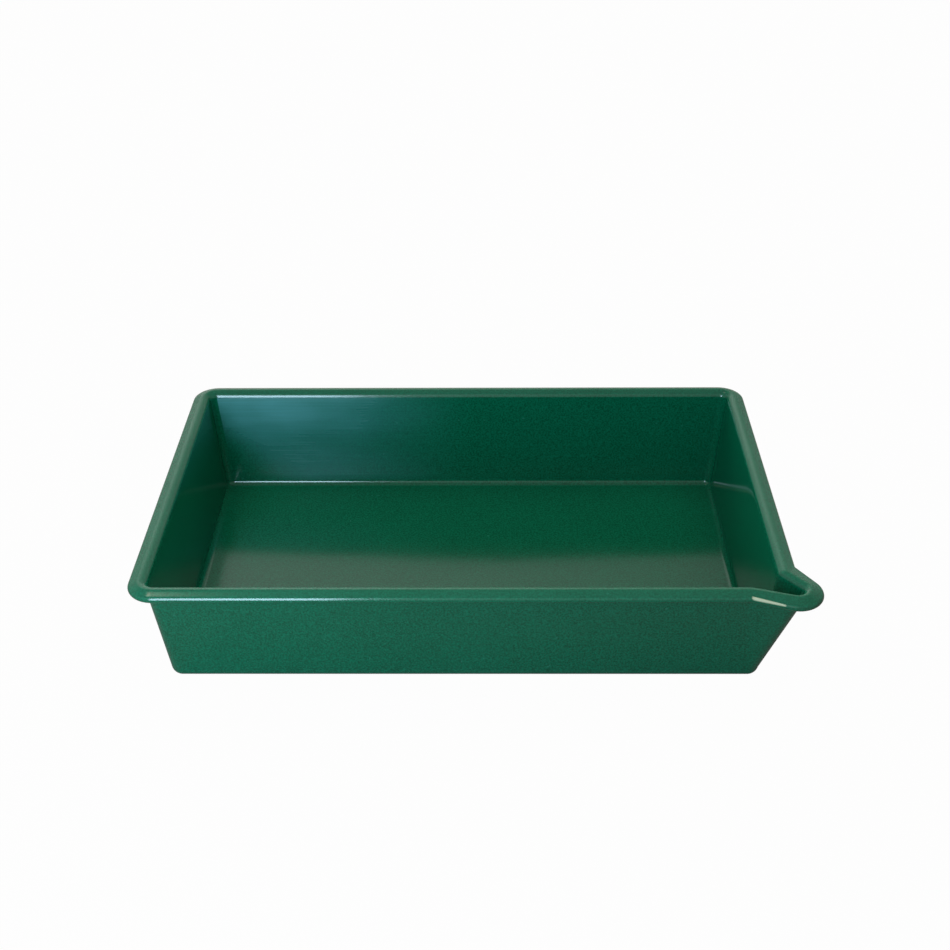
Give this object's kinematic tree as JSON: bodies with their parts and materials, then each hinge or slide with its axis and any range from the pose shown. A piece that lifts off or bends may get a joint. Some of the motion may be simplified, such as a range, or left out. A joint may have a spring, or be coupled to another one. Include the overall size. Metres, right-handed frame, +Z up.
{
  "type": "drip tray",
  "caption": "Shallow rectangular drip tray with leaning walls, a rolled rim and a pouring spout at one corner, moulded in one piece.",
  "frame": {"origin": "centre of the base, on the surface the tray stands on; the spout isn't counted when the centre is taken", "axes": "+X along the tray's length towards the spout's end, -Y towards the side the spout leans out to, +Z up"},
  "size_m": [0.4638, 0.3044, 0.0854],
  "materials": {
    "green_plastic": "deep green injection-moulded plastic with a semi-gloss skin"
  },
  "bodies": {
    "root": {"drip_tray": "green_plastic"}
  },
  "joints": []
}
